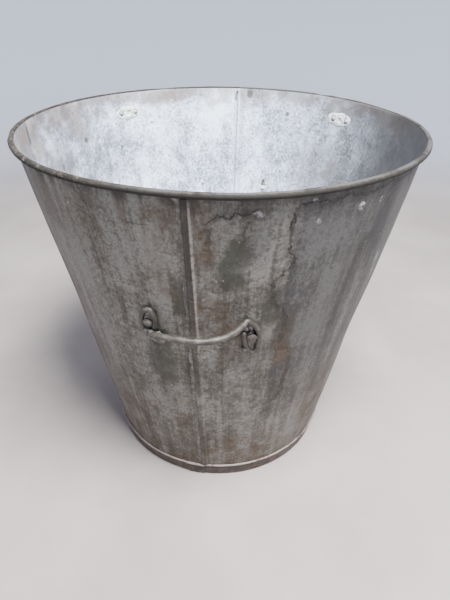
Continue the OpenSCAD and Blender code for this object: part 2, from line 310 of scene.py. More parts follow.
# ---------------- node helpers
class Field:
    """A number that changes over a surface. Arithmetic on it adds Math nodes."""

    def __init__(self, tree, socket):
        self.tree = tree
        self.socket = socket

    def math(self, operation, *others, swap=False):
        """The field with others as the inputs of a Math node, in that order unless they are swapped."""
        node = self.tree.nodes.new("ShaderNodeMath")
        node.operation = operation
        values = [self, *others]
        if swap:
            values.reverse()
        for value, socket in zip(values, node.inputs):
            feed(self.tree, socket, value)
        return Field(self.tree, node.outputs[0])

    def __add__(self, other):
        return self.math("ADD", other)

    def __sub__(self, other):
        return self.math("SUBTRACT", other)

    def __rsub__(self, other):
        return self.math("SUBTRACT", other, swap=True)

    def __mul__(self, other):
        return self.math("MULTIPLY", other)

    def __truediv__(self, other):
        return self.math("DIVIDE", other)

    def size(self):
        return self.math("ABSOLUTE")

    def most(self, other):
        return self.math("MAXIMUM", other)

    def least(self, other):
        return self.math("MINIMUM", other)

    def step(self, low, high):
        """0 at low and 1 at high, with a soft start and end; low may be the larger."""
        node = self.tree.nodes.new("ShaderNodeMapRange")
        node.interpolation_type = "SMOOTHSTEP"
        feed(self.tree, node.inputs["Value"], self)
        node.inputs["From Min"].default_value = min(low, high)
        node.inputs["From Max"].default_value = max(low, high)
        node.inputs["To Min"].default_value = 0.0 if low < high else 1.0
        node.inputs["To Max"].default_value = 1.0 if low < high else 0.0
        return Field(self.tree, node.outputs["Result"])


def feed(tree, socket, value):
    """Links a field or a socket to an input, or sets its value."""
    if isinstance(value, Field):
        value = value.socket
    if isinstance(value, bpy.types.NodeSocket):
        tree.links.new(value, socket)
    elif isinstance(value, tuple):
        socket.default_value = (*value, 1.0)
    else:
        socket.default_value = value


class Finish:
    """A procedural material, with the places on the tub that its patterns use."""

    def __init__(self, name, metallic, specular=0.5):
        self.material = bpy.data.materials.new(name)
        self.material.use_nodes = True
        self.tree = self.material.node_tree
        self.shader = self.tree.nodes["Principled BSDF"]
        self.shader.inputs["Metallic"].default_value = metallic
        self.shader.inputs["Specular IOR Level"].default_value = specular
        self.skin = self.node("ShaderNodeTexCoord").outputs["Object"]
        split = self.node("ShaderNodeSeparateXYZ", Vector=self.skin)
        x, y, z = (Field(self.tree, s) for s in split.outputs)
        self.r = (x * x + y * y).math("SQRT") / MM
        self.z = z / MM
        self.azimuth = x.math("ARCTAN2", y * -1.0) / DEG
        self.streaks = self.node("ShaderNodeCombineXYZ", X=x / self.r / MM * 0.25,
                                 Y=y / self.r / MM * 0.25, Z=z * 0.06).outputs[0]
        self.colour = None

    def node(self, kind, **inputs):
        """A new node with its named inputs fed."""
        node = self.tree.nodes.new(kind)
        for name, value in inputs.items():
            feed(self.tree, node.inputs[name], value)
        return node

    def noise(self, size, detail=4.0, roughness=0.55, by=(0, 0, 0), on=None):
        """A cloudy field of about 0.3 to 0.7, with features of that size in millimetres, on the skin or
        on another vector. It is moved by a constant, so that a second noise isn't the first again."""
        moved = self.node("ShaderNodeVectorMath")
        feed(self.tree, moved.inputs[0], self.skin if on is None else on)
        moved.inputs[1].default_value = by
        node = self.node("ShaderNodeTexNoise", Vector=moved.outputs[0], Scale=1 / (size * MM),
                         Detail=detail, Roughness=roughness)
        return Field(self.tree, node.outputs["Fac"])

    def curve(self, value, points):
        """A smooth curve through points of (value, result)."""
        start, reach = points[0][0], points[-1][0] - points[0][0]
        low = min(result for _, result in points)
        rise = max(result for _, result in points) - low
        node = self.tree.nodes.new("ShaderNodeFloatCurve")
        line = node.mapping.curves[0]
        places = [((at - start) / reach, (result - low) / rise) for at, result in points]
        line.points[0].location, line.points[1].location = places[0], places[-1]
        for one in places[1:-1]:
            line.points.new(*one)
        node.mapping.update()
        feed(self.tree, node.inputs["Value"], (value - start) / reach)
        return Field(self.tree, node.outputs[0]) * rise + low

    def mix(self, share, low, high):
        """The colour low where the share is 0 and high where it is 1."""
        node = self.tree.nodes.new("ShaderNodeMix")
        node.data_type = "RGBA"
        feed(self.tree, node.inputs[0], share)
        feed(self.tree, node.inputs[6], low)
        feed(self.tree, node.inputs[7], high)
        return node.outputs[2]

    def coat(self, share, colour):
        """Lays a colour over the finish's own one by its share."""
        self.colour = self.mix(share, self.colour, colour)

    def shaded_corners(self, reach):
        """1 in corners nearer than reach to another surface, 0 in the open: the mask that paints shade into
        corners.
        """
        node = self.tree.nodes.new("ShaderNodeAmbientOcclusion")
        node.samples = 6
        node.inputs["Distance"].default_value = reach * MM
        return 1.0 - Field(self.tree, node.outputs["AO"])

    def done(self, roughness, height, depth):
        """Sets the shader's colour, roughness and bump: height is a field, and depth is in millimetres."""
        feed(self.tree, self.shader.inputs["Base Color"], self.colour)
        feed(self.tree, self.shader.inputs["Roughness"], roughness)
        bump = self.node("ShaderNodeBump", Height=height)
        bump.inputs["Distance"].default_value = depth * MM
        feed(self.tree, self.shader.inputs["Normal"], bump.outputs[0])
        return self.material


# ---------------- finishes
ZINC_DARK = (0.0290, 0.0243, 0.0182)
ZINC_MID = (0.083, 0.0762, 0.0638)
ZINC_PALE = (0.178, 0.172, 0.157)
ZINC_BLUE = (0.030, 0.031, 0.036)
WORN_ZINC_AND_HIGHLIGHT = (0.24, 0.226, 0.208)
OLIVE = (0.0315, 0.034, 0.025)
TIDE_DARK = (0.0135, 0.0110, 0.0088)
EARTH = (0.069, 0.0460, 0.0260)
RUST = (0.110, 0.042, 0.018)
PINK_RUST = (0.150, 0.102, 0.074)
# Real soot on the rim's scabs, and also the colour of painted shade under the rim, under the foot bead, on
# downward faces and in corners
SOOT_AND_SHADE = (0.018, 0.016, 0.014)
WHITE_ZINC = (0.60, 0.60, 0.585)

# Stains of the outside: azimuth in degrees, height, half width and half height in millimetres
BROWN_STAINS = [(4.2, 500, 7, 46), (-5.5, 452, 16, 38), (-6, 515, 10, 30), (4, 395, 26, 26),
                (12, 352, 34, 30), (3, 45, 60, 34), (16, 70, 70, 40), (-8, 130, 12, 80),
                (27, 300, 14, 60), (-34, 120, 40, 60),
                (-62, 340, 60, 160), (60, 120, 50, 90), (-110, 160, 70, 90), (130, 330, 40, 120),
                (190, 140, 70, 70), (-150, 420, 40, 90)]
OLIVE_STAINS = [(11.0, 474, 19, 32), (22, 400, 10, 40), (27, 345, 12, 40), (-3, 420, 14, 30),
                (-11, 300, 22, 60), (100, 470, 40, 30), (-165, 300, 30, 60)]
PALE_STAINS = [(8.6, 517, 17, 16), (-12, 495, 16, 46), (-31, 430, 9, 100), (-26, 330, 8, 60),
               (-10, 200, 12, 90), (-18, 250, 9, 70), (14, 290, 16, 60), (18, 170, 18, 70),
               (19, 350, 14, 24), (52, 330, 8, 90), (62, 385, 7, 60),
               (-75, 330, 16, 120), (120, 200, 26, 110), (-130, 300, 20, 120)]
# Spots of white crust
WHITE_SPOTS = [(15.5, 535, 4.5, 4), (29.4, 519, 3, 4), (27.4, 547, 2.4, 2.4), (23.8, 493, 2, 2.4),
               (48.2, 527, 3, 4), (60.5, 420, 4, 9), (62.5, 395, 4, 12), (-30, 524, 2.4, 3),
               (150, 500, 4, 5), (-120, 470, 3, 5), (196, 380, 4, 4)]
# Dark lines left by drying water: points of azimuth and height, half width and strength. The first
# lists run round the wall and the second ones up it, where each point is height and azimuth.
LINES_ROUND = [([(4.0, 519), (5.9, 530), (8, 535), (9, 533), (11.4, 538), (13.6, 536), (15.6, 543)],
                2.6, 1.0),
               ([(23.8, 538), (25.2, 545), (29, 543), (32, 544), (35.7, 547), (41.4, 542), (49, 547),
                 (62, 538)], 2.2, 0.95),
               ([(-15, 522), (-12.6, 518), (-8.6, 518)], 0.7, 0.8),
               ([(28.6, 306), (31.6, 312), (34, 300)], 1.2, 0.7),
               ([(96, 430), (104, 470), (112, 482), (122, 470), (133, 494), (141, 480)], 1.5, 0.8),
               ([(-128, 360), (-118, 402), (-106, 396), (-96, 418)], 1.3, 0.7)]
LINES_UP = [([(493, 12.0), (503, 12.6), (516, 12.4), (524, 13.6), (528, 14.8)], 1.4, 0.85),
            ([(440, 21.2), (454, 23.2), (472, 25.4), (480, 24.0), (495, 23.3), (508, 23.1), (528, 23.5),
              (539, 24.0)], 2.6, 1.0),
            ([(470, 4.4), (500, 4.6), (522, 4.4)], 4, 0.85),
            ([(200, 29.5), (257, 30.9), (308, 30.2), (328, 26.2), (365, 26.7), (401, 23.4), (412, 21.7),
              (445, 20.8)], 4.6, 0.9),
            ([(330, 46.4), (372, 45.6), (436, 46.5), (480, 49.5)], 7, 0.7),
            ([(310, -128), (360, -126), (430, -131), (500, -128)], 2.4, 0.7),
            ([(250, 94), (330, 97), (400, 93), (432, 96)], 2.4, 0.7)]
# Tide marks round the back: the same as stains, and how strong the dark line round them is
TIDE_MARKS = [(160, 420, 90, 110, 0.7), (-84, 470, 60, 70, 0.5)]


def bend(noises, across, up):
    """How far two noises bend an outline at a place, in degrees and in millimetres."""
    return (noises[0] - 0.5) * across, (noises[1] - 0.5) * up


def most_of(shares):
    """The largest of several fields at each place."""
    return functools.reduce(Field.most, shares)


def ellipse(f, warp, azimuth, height, half_w, half_h):
    """Distance from the middle of a stain whose edge is at 1, its outline bent by the warp."""
    across = (f.azimuth + warp[0] - azimuth) * (wall_r(height) * DEG / half_w)
    up = (f.z + warp[1] - height) / half_h
    return (across * across + up * up).math("SQRT")


def stains(f, warp, places, soft=0.75):
    """1 inside any of the stains, fading out at their edges."""
    return most_of([ellipse(f, warp, *spot).step(1 + soft, 1 - soft) for spot in places])


def tide_lines(f, warp, broken):
    """1 on the lines left by drying water, with a faint wider shade beside them."""
    azimuth, z = f.azimuth + warp[0], f.z + warp[1]
    lines = []
    kinds = [(LINES_ROUND, azimuth, z, 1.0, 1.2), (LINES_UP, z, azimuth, f.r * DEG, 7)]
    for lists, along, across, scale, end in kinds:
        for points, half_width, strength in lists:
            first, last = points[0][0], points[-1][0]
            off = (across - f.curve(along, points)).size() * scale
            run = along.step(first - end, first + end) * along.step(last + end, last - end)
            line = off.step(half_width * 1.5, half_width * 0.5) * broken
            lines.append(line.most(off.step(half_width * 5, 0) * 0.35) * run * strength)
    return most_of(lines)


def tide_edges(f, warp, broken):
    """1 on the dark edges of the big tide marks."""
    edges = []
    for *spot, strength in TIDE_MARKS:
        off = (ellipse(f, warp, *spot) - 1.0).size() * min(spot[2:])
        edges.append(off.step(2.6, 0.3) * broken * strength)
    return most_of(edges)


def outside_ground(f, cloud, mottle, fine, grain, past_line):
    """Streaked and mottled zinc, bluer past the big tide line and darker at the left."""
    streak = f.noise(20, on=f.streaks, detail=6, roughness=0.65)
    thin_streak = f.noise(5, on=f.streaks, by=(3, 1, 7))
    calm = f.azimuth.size().step(20, 60) * f.azimuth.size().step(130, 100) * 0.5
    spots = mottle * 0.6 + fine * 0.75 + grain * 0.35 - 0.85
    tone = cloud * 0.6 + mottle * 0.2 + streak + thin_streak * 0.3 - 0.45 + spots * (1.0 - calm)
    f.colour = ZINC_DARK
    f.coat(tone.step(0.28, 0.58), ZINC_MID)
    f.coat(tone.step(0.50, 0.78) * 0.85, ZINC_PALE)
    cool = f.noise(150, by=(0, 0, 4)).step(0.42, 0.58)
    cool = cool.most(past_line) * f.azimuth.step(2, 20) * f.z.step(120, 300)
    f.coat(cool * (tone.step(0.62, 0.34) * 0.4 + 0.52), ZINC_BLUE)
    left_edge = f.azimuth.step(-38, -60) * f.azimuth.step(-140, -95)
    f.coat(left_edge * (cloud.step(0.6, 0.35) * 0.3 + 0.45), ZINC_DARK)


def brown_and_rust(f, warp):
    """Brown stains with rust in them, more of both near the foot. Returns where the brown is."""
    brown_noise = f.noise(30, detail=6, roughness=0.65, by=(0, 6, 2))
    brown = stains(f, warp, BROWN_STAINS).most(f.z.step(130, 20) * 0.95) * brown_noise.step(0.34, 0.60)
    f.coat(brown * 0.66, EARTH)
    rust_noise = f.noise(11, detail=6, roughness=0.7, by=(2, 6, 2))
    f.coat(rust_noise.step(0.54, 0.68) * (f.z.step(110, 26) + brown * 0.35) * 0.5, RUST)
    f.coat(rust_noise.step(0.50, 0.36) * brown * 0.45, PINK_RUST)
    return brown


def rim_drips_and_shade(f):
    """Brown runs down from the rolled rim, soot and a painted shadow close under it, and painted shade in
    corners.
    """
    drip_noise = f.noise(14, on=f.streaks, detail=5, by=(2, 8, 4))
    drips = drip_noise.step(0.44, 0.60) * f.z.step(CURL_Z - 130, CURL_Z) * f.azimuth.step(20, -10)
    f.coat(drips * 0.6, EARTH)
    # Soot with a painted shadow in a band just under the rolled rim, and painted shade in corners
    soot_and_shadow_under_rim = (f.z + (drip_noise - 0.5) * 50).step(CURL_Z - 18, CURL_Z - 3) * 0.75
    f.coat(soot_and_shadow_under_rim.most(f.shaded_corners(8).step(0.3, 1.0) * 0.2), SOOT_AND_SHADE)


def seam_marks(f, mottle, fine):
    """Grime on the flat of the front and back seams, and bare worn metal with a painted highlight on the
    slope beside it.
    """
    beside = ((f.azimuth + 90.0).math("FLOORED_MODULO", 180.0) - 90.0) * f.r * DEG
    flat = beside.step(-5.2, -4.0) * beside.step(4.4, 3.0) * (f.z.step(330, 480) * 0.7 + 0.14)
    f.coat(flat * mottle.step(0.1, 0.5), TIDE_DARK)
    # The slope of the seam's step faces the key light and is painted pale: wear and a painted highlight
    slope = beside.step(3.6, 4.6) * beside.step(7.2, 5.8) * f.z.step(CURL_Z - 4, CURL_Z - 16)
    f.coat(slope * (f.z.step(300, 400) * 0.55 + 0.1) * fine.step(0.32, 0.50), WORN_ZINC_AND_HIGHLIGHT)


def outside_zinc():
    """Old zinc outside: streaked grey, with tide lines, brown stains and rust near the foot."""
    f = Finish("weathered_zinc_outside", metallic=0.15, specular=0.35)
    cloud = f.noise(120, detail=5)
    mottle = f.noise(26, detail=7, roughness=0.65)
    fine = f.noise(8, detail=5, roughness=0.7, by=(9, 3, 1))
    grain = f.noise(3.5, detail=3, roughness=0.6)
    wander = (f.noise(40, detail=5, roughness=0.6, by=(5, 0, 0)),
              f.noise(46, detail=5, roughness=0.6, by=(0, 9, 0)))
    wiggle = [f.noise(11, roughness=0.65, by=(x, 4, 4)) for x in (4, 7)]

    past_line = (f.azimuth - 24.5 + (wiggle[0] - 0.5) * 5).step(-1.2, 1.2) * f.azimuth.step(100, 62)
    outside_ground(f, cloud, mottle, fine, grain, past_line)
    stain_bend = bend(wander, 12, 50)
    f.coat(stains(f, stain_bend, PALE_STAINS) * fine.step(0.3, 0.6) * 0.55, ZINC_PALE)
    olive = stains(f, stain_bend, OLIVE_STAINS, 0.22) * fine.step(0.2, 0.42)
    f.coat(olive * (mottle.step(0.62, 0.3) * 0.35 + 0.58), OLIVE)
    line = tide_lines(f, bend(wiggle, 4.5, 22), fine.step(0.34, 0.52))
    line = line.most(tide_edges(f, bend(wander, 26, 120), mottle.step(0.36, 0.56)))
    f.coat(line * 0.95, TIDE_DARK)
    brown = brown_and_rust(f, stain_bend)
    rim_drips_and_shade(f)
    seam_marks(f, mottle, fine)
    flecks = f.noise(3.0, detail=2, by=(8, 8, 8)).step(0.69, 0.76) * 0.3
    crust = stains(f, bend(wiggle, 3, 16), WHITE_SPOTS, 0.3) * grain.step(0.35, 0.6)
    flecks = flecks.most(crust * 0.32)
    f.coat(flecks, WHITE_ZINC)
    f.coat(grain.step(0.62, 0.3) * 0.35, ZINC_DARK)

    roughness = (mottle * 0.35 + 0.40 + brown * 0.2).least(0.95)
    height = mottle * 0.9 + fine * 0.6 + grain * 0.35 + line * 0.4 + flecks * 2.0
    return f.done(roughness, height, 0.8)


INSIDE_DARK = (0.215, 0.235, 0.275)
INSIDE_GREY = (0.122, 0.127, 0.146)
INSIDE_MID = (0.51, 0.575, 0.69)
INSIDE_PALE = (0.82, 0.89, 1.0)
INSIDE_BROWN = (0.140, 0.098, 0.064)
INSIDE_SLATE = (0.060, 0.057, 0.053)
RIM_GREY = (0.010, 0.0082, 0.0066)
RIM_PALE = (0.031, 0.027, 0.023)
RIM_CREST_WEAR_AND_HIGHLIGHT = (0.054, 0.052, 0.049)
RIM_WORN = (0.105, 0.099, 0.092)
FAR_RIGHT_SHADE_COLOUR = (0.041, 0.035, 0.030)
# Marks of the inside: azimuth in degrees, height, half width and half height in millimetres
INSIDE_MARKS = [(108, 530, 5, 5.5), (-178.6, 546, 3, 9), (176, 551, 6, 8), (150, 300, 14, 8),
                (101, 505, 4, 4), (-112, 500, 4, 5), (-96, 470, 3, 6), (-128, 470, 3, 3),
                (-143, 505, 3, 2), (160, 520, 3, 3)]
INSIDE_SLIT = [(530, -79.8), (545, -80.6), (556, -81.4)]
# Brown patches of the inside, the same columns; the broad ones on the right at azimuth 96 and 118 are painted
# shade
INSIDE_BROWN_AND_SHADE_PATCHES = [(-150, 549, 70, 12), (176, 549, 34, 14), (-110, 527, 26, 34), (140, 420, 60, 50),
                 (-72, 530, 44, 40), (155, 330, 44, 34), (118, 548, 110, 22), (96, 400, 120, 180),
                 (-94, 450, 34, 50), (-84, 525, 20, 30)]


def rolled_rim(f):
    """Lays the rolled rim's dark worn iron over the finish, with a worn crest and a painted highlight on top
    and soot with painted shade underneath. Returns what it adds to roughness and height.
    """
    beside, above = f.r - CURL_X, f.z - CURL_Z
    from_curl = (beside * beside + above * above).math("SQRT")
    past_wall = (above + beside * 0.6).step(-1.5, -0.4).most(beside.step(-3.2, -2.4))
    knocked = beside.step(-3.4, -2.4) * 2.6
    on_curl = (from_curl - knocked).step(CURL_R + 1.6, CURL_R + 0.3) * past_wall
    lean_up = above / from_curl
    rim_noise = f.noise(8, detail=6, roughness=0.65, by=(3, 3, 3))
    rim_tone = f.noise(50, by=(1, 6, 3))
    left_rust = f.azimuth.step(-14, -26) * f.azimuth.step(-140, -90)

    wall_colour = f.colour
    f.colour = RIM_GREY
    f.coat((rim_noise * 0.5 + rim_tone * 0.5).step(0.36, 0.64), RIM_PALE)
    f.coat(rim_noise.step(0.48, 0.62) * (left_rust * 0.45 + 0.12), EARTH)
    scabs = f.noise(6, roughness=0.7, by=(9, 6, 9)).step(0.52, 0.60)
    f.coat(scabs * (left_rust * 0.45 + 0.4), SOOT_AND_SHADE)
    f.coat(rim_noise.step(0.58, 0.64) * left_rust * 0.8, RIM_WORN)
    # The rim's upward-facing crest is painted lighter, more on the right: wear and a painted highlight
    crest_wear_and_highlight = (lean_up + (rim_noise - 0.5) * 0.5).step(0.45, 0.9) * (f.azimuth.step(-22, 6) * 0.8 + 0.1)
    f.coat(crest_wear_and_highlight * rim_tone.step(0.30, 0.5), RIM_CREST_WEAR_AND_HIGHLIGHT)
    # The rim's lower, downward-facing half is painted dark: soot and painted shade
    low_edge_soot_and_shade = (lean_up + (rim_noise - 0.5) * 0.7).step(0.50, -0.05)
    f.coat(low_edge_soot_and_shade * beside.step(-1, 1) * 0.9, SOOT_AND_SHADE)
    f.colour = f.mix(on_curl, wall_colour, f.colour)
    return (on_curl * (left_rust * 0.15 - crest_wear_and_highlight * 0.3 + 0.26),
            on_curl * (rim_noise + scabs * 0.3) * (left_rust * 2.4 + 0.9))


def inside_dirt(f, warp, mottle, speckle):
    """Brown along the top and the bottom, a greyer left side and painted shade over the far right side."""
    left_shade = f.azimuth.step(-140, -104) * f.azimuth.step(-40, -70)
    f.coat(left_shade * (mottle.step(0.65, 0.35) * 0.5 + 0.42), INSIDE_GREY)
    # Brown stains, and painted shade from the broad patches on the right
    f.coat(stains(f, warp, INSIDE_BROWN_AND_SHADE_PATCHES) * mottle.step(0.3, 0.6) * 0.7, INSIDE_BROWN)
    f.coat(f.noise(6, detail=3, by=(1, 2, 3)).step(0.68, 0.74) * 0.6, INSIDE_SLATE)
    edge_noise = f.noise(40, detail=5, roughness=0.6, by=(6, 2, 3))
    top_stain = (f.z + (edge_noise - 0.5) * 130).step(CURL_Z - 34, CURL_Z)
    f.coat(top_stain * (speckle.step(0.3, 0.6) * 0.45 + 0.25), INSIDE_BROWN)
    f.coat(f.z.step(130, 24) * edge_noise.step(0.40, 0.62) * 0.65, INSIDE_BROWN)
    # Painted shade: the far right of the inside, which faces away from the key light, is darkened
    far_right_painted_shade = f.azimuth.step(178, 101) * f.azimuth.step(40, 70)
    f.coat(far_right_painted_shade * (mottle.step(0.65, 0.35) * 0.10 + 0.88), FAR_RIGHT_SHADE_COLOUR)


def inside_zinc():
    """Cleaner zinc inside: pale, mottled and speckled, browner near the rim; then the rolled rim."""
    f = Finish("pale_zinc_inside", metallic=0.1, specular=0.3)
    cloud = f.noise(90, detail=5)
    mottle = f.noise(22, detail=6, roughness=0.65)
    speckle = f.noise(4.5, roughness=0.7, by=(4, 4, 0))
    streak = f.noise(30, on=f.streaks, detail=5, roughness=0.6)
    wander = [f.noise(30, detail=5, roughness=0.6, by=by) for by in ((5, 0, 0), (0, 9, 0))]
    tone = cloud * 0.7 + mottle * 0.8 + speckle * 1.3 + streak * 0.5 - 1.15
    f.colour = INSIDE_DARK
    f.coat(tone.step(0.26, 0.50), INSIDE_MID)
    f.coat(tone.step(0.48, 0.72), INSIDE_PALE)
    inside_dirt(f, bend(wander, 12, 60), mottle, speckle)

    marks = stains(f, bend(wander, 3, 16), INSIDE_MARKS, 0.4)
    slit = (f.azimuth - f.curve(f.z, INSIDE_SLIT)).size().step(1.1, 0.5)
    slit = slit * f.z.step(528, 532) * f.z.step(557, 553)
    f.coat(marks.most(slit) * 0.85, INSIDE_SLATE)
    back_band = (f.azimuth.size() - 178.9).size().step(1.3, 0.5) * f.z.step(300, 480)
    f.coat(back_band * mottle.step(0.3, 0.6) * 0.45, INSIDE_DARK)
    # Painted shade in corners, in the brown of the stains
    f.coat(f.shaded_corners(14).step(0.4, 0.9) * 0.4, INSIDE_BROWN)
    rim_roughness, rim_height = rolled_rim(f)

    roughness = (mottle * 0.4 + 0.36 + rim_roughness).least(0.98)
    return f.done(roughness, mottle * 0.6 + speckle * 0.5 + rim_height, 0.6)


def bare_metal(name, dark, mid, pale, metallic, size, rust_share, depth=0.5, grime_and_shade=0.7):
    """Iron, wire or solder: three tones in lumps of a size, rust in its hollows, and grime with painted shade
    on its underside and in corners.
    """
    f = Finish(name, metallic)
    lump = f.noise(size, detail=5, roughness=0.62)
    fine = f.noise(size / 5, roughness=0.65, by=(2, 2, 2))
    tone = lump * 1.2 + fine * 0.6 - 0.4
    f.colour = dark
    f.coat(tone.step(0.32, 0.56), mid)
    f.coat(tone.step(0.52, 0.74), pale)
    normal = f.node("ShaderNodeNewGeometry").outputs["Normal"]
    facing_up = Field(f.tree, f.node("ShaderNodeSeparateXYZ", Vector=normal).outputs[2])
    # Grime and painted shade on faces that turn downwards
    f.coat(facing_up.step(0.30, -0.45) * grime_and_shade, SOOT_AND_SHADE)
    rust_noise = f.noise(size * 1.4, detail=6, roughness=0.7, by=(7, 1, 2))
    rust = rust_noise.step(0.62 - rust_share * 0.3, 0.72 - rust_share * 0.3)
    f.coat(rust * 0.75, EARTH)
    f.coat(rust * fine.step(0.5, 0.65) * 0.6, RUST)
    # Painted shade in corners
    f.coat(f.shaded_corners(7).step(0.25, 0.85) * grime_and_shade, SOOT_AND_SHADE)
    roughness = fine * 0.4 + rust * 0.25 + 0.28
    return f.done(roughness.least(0.95), lump * 0.8 + fine * 0.6 - rust * 0.3, depth)


HOOP_DARK = (0.023, 0.018, 0.015)
HOOP_MID = (0.072, 0.056, 0.046)
HOOP_RIDGE_HIGHLIGHT = (0.25, 0.20, 0.172)


def hoop_finish():
    """Dark worn iron with a pale, pinkish painted highlight along the top of the bead, and painted shade
    under it and in corners.
    """
    f = Finish("foot_hoop_iron", metallic=0.2)
    lump = f.noise(18, detail=6, roughness=0.65)
    fine = f.noise(4, roughness=0.65, by=(2, 2, 2))
    tone = lump * 1.1 + fine * 0.7 - 0.4
    f.colour = HOOP_DARK
    f.coat(tone.step(0.34, 0.66), HOOP_MID)
    f.coat(f.noise(14, detail=6, roughness=0.7, by=(7, 1, 2)).step(0.50, 0.64) * 0.6, RUST)
    # Painted highlight along the top of the bead
    ridge_highlight = f.z.step(BEAD_Z - 0.4, BEAD_Z + 1.0) * tone.step(0.30, 0.52)
    f.coat(ridge_highlight * 0.85, HOOP_RIDGE_HIGHLIGHT)
    # Painted shade just under the bead
    under = f.z.step(BEAD_Z - 0.5, BEAD_Z - 2.5) * f.z.step(BEAD_Z - 10, BEAD_Z - 5)
    f.coat(under * 0.75, SOOT_AND_SHADE)
    # Painted shade in corners
    f.coat(f.shaded_corners(6).step(0.3, 0.9) * 0.6, SOOT_AND_SHADE)
    return f.done((fine * 0.4 + 0.4).least(0.95), lump * 0.8 + fine * 0.6, 0.6)


outside = outside_zinc()
inside = inside_zinc()
hoop_iron = hoop_finish()
rod_iron = bare_metal("worn_handle_iron", (0.026, 0.022, 0.018), (0.050, 0.044, 0.037), (0.092, 0.085, 0.076),
                      metallic=0.15, size=11, rust_share=0.08, grime_and_shade=0.55)
rivet_iron = bare_metal("rusty_rivet_iron", (0.024, 0.020, 0.017), (0.050, 0.043, 0.037),
                        (0.095, 0.084, 0.074), metallic=0.15, size=6, rust_share=0.1, grime_and_shade=0.12)
wire_iron = bare_metal("rim_wire_iron", (0.06, 0.05, 0.045), (0.13, 0.11, 0.10), (0.22, 0.20, 0.18),
                       metallic=0.4, size=12, rust_share=0.7)
solder = bare_metal("dull_solder", (0.054, 0.049, 0.043), (0.116, 0.108, 0.097), (0.265, 0.257, 0.243),
                    metallic=0.2, size=7, rust_share=0.12, depth=1.2, grime_and_shade=0.4)
tinned = bare_metal("tinned_rivet", (0.13, 0.13, 0.13), (0.30, 0.305, 0.31), (0.58, 0.59, 0.60),
                    metallic=0.3, size=6, rust_share=0.2)
pale_solder = bare_metal("pale_solder", (0.14, 0.135, 0.125), (0.27, 0.265, 0.255), (0.48, 0.475, 0.46),
                         metallic=0.2, size=5, rust_share=0.1, depth=0.8)
white_solder = bare_metal("white_solder_crust", (0.42, 0.42, 0.41), (0.74, 0.75, 0.74), (0.93, 0.93, 0.92),
                          metallic=0.1, size=7, rust_share=0.1, depth=0.8, grime_and_shade=0.8)


# ---------------- wall sheets
# Half the gap where the two sheets meet edge to edge, above and below the seams
BUTT = 0.1


def outer_hook():
    """Path across a seam's outer edge, x along the wall and w out of it, from its hidden end to the wall."""
    x0, x1 = -SEAM_W / 2 + FOLD_R, SEAM_W / 2
    ring = FOLD_R - SHEET_T / 2
    middle = LAYER_GAP + FOLD_R
    a = np.linspace(0, math.pi, 9)
    hidden = [(x0 + x, middle - ring) for x in (4.4, 3, 1.5)]
    fold = list(zip(x0 - ring * np.sin(a), middle - ring * np.cos(a)))
    flat = [(x, middle + ring) for x in np.linspace(x0, x1, 7)[1:-1]]
    t = np.linspace(0, 1, 10)
    slope = list(zip(x1 + SEAM_STEP_W * t, middle + ring - SEAM_H * smooth(t, 0, 1)))
    return np.array(hidden + fold + flat + slope)


def inner_hook():
    """Path across a seam's inner edge, from the wall to its hidden end."""
    x0, x1 = -SEAM_W / 2, SEAM_W / 2 - FOLD_R
    ring = FOLD_R - SHEET_T / 2
    middle = FOLD_R - SHEET_T
    a = np.linspace(0, math.pi, 9)
    under = [(x, -SHEET_T / 2) for x in np.linspace(x0 - 1, x1, 6)[:-1]]
    fold = list(zip(x1 + ring * np.sin(a), middle - ring * np.cos(a)))
    hidden = [(x1 - x, middle + ring) for x in (1.5, 3)]
    return np.array(under + fold + hidden)


def side_of(path):
    """Unit normals of a flat path, to its left."""
    along = unit(np.gradient(path, axis=0))
    return np.stack([-along[:, 1], along[:, 0]], -1)


# Shares of the way across a sheet, from one hook to the other
ACROSS = np.linspace(0, 1, WALL_COLUMNS)[1:-1]
# The outer and the inner face of a sheet, in thicknesses from its middle
FACES = (0.5, -0.5)


def sheet_azimuths(turn, r, front_x, back_x):
    """Azimuths across a sheet at a radius, from its front edge to its back edge."""
    low, high = front_x / r, math.pi + back_x / r
    return np.concatenate([low, low[-1] + (high[0] - low[-1]) * ACROSS, high]) + turn


def butt_edges(front, back):
    """Places across the plain edges of a sheet, as many as its hooks have."""
    return np.linspace(BUTT, front[-1][0], len(front)), np.linspace(back[0][0], -BUTT, len(back))


def wall_row(turn, z, front, back):
    """Both faces of a sheet at a height, as one loop of points."""
    layers = []
    for side in FACES:
        shift = side * SHEET_T
        if SEAM_Z0 <= z <= SEAM_Z1:
            edges = front + shift * side_of(front), back + shift * side_of(back)
        else:
            edges = [np.stack([x, np.full(len(x), shift - SHEET_T / 2)], -1) for x in butt_edges(front, back)]
        azimuth = sheet_azimuths(turn, wall_r(z), edges[0][:, 0], edges[1][:, 0])
        out = np.concatenate([edges[0][:, 1], np.full(len(ACROSS), shift - SHEET_T / 2), edges[1][:, 1]])
        layers.append(on_wall(azimuth, z, out))
    return np.concatenate([layers[0], layers[1][::-1]])


def curl_row(turn, bent, front, back):
    """Both faces of the rolled rim where it has bent that far from the wall, as one loop of points."""
    angle = math.pi - LEAN - bent
    azimuth = sheet_azimuths(turn, CURL_X, *butt_edges(front, back))
    from_butt = np.minimum(azimuth - turn, math.pi - (azimuth - turn)) * CURL_X
    p = turned(azimuth, CURL_X + WIRE_R * math.cos(angle), WIRE_R * math.sin(angle))
    worn = 0.45 * np.exp(-((from_butt / 1.4) ** 2)) + 0.16 * smooth(lumps(p, 9, 11), 0.1, 1)
    layers = []
    for side in FACES:
        ring = CURL_R - SHEET_T / 2 - side * SHEET_T - worn
        layers.append(place(azimuth, CURL_X + ring * math.cos(angle), CURL_Z + ring * math.sin(angle)))
    return np.concatenate([layers[0], layers[1][::-1]])


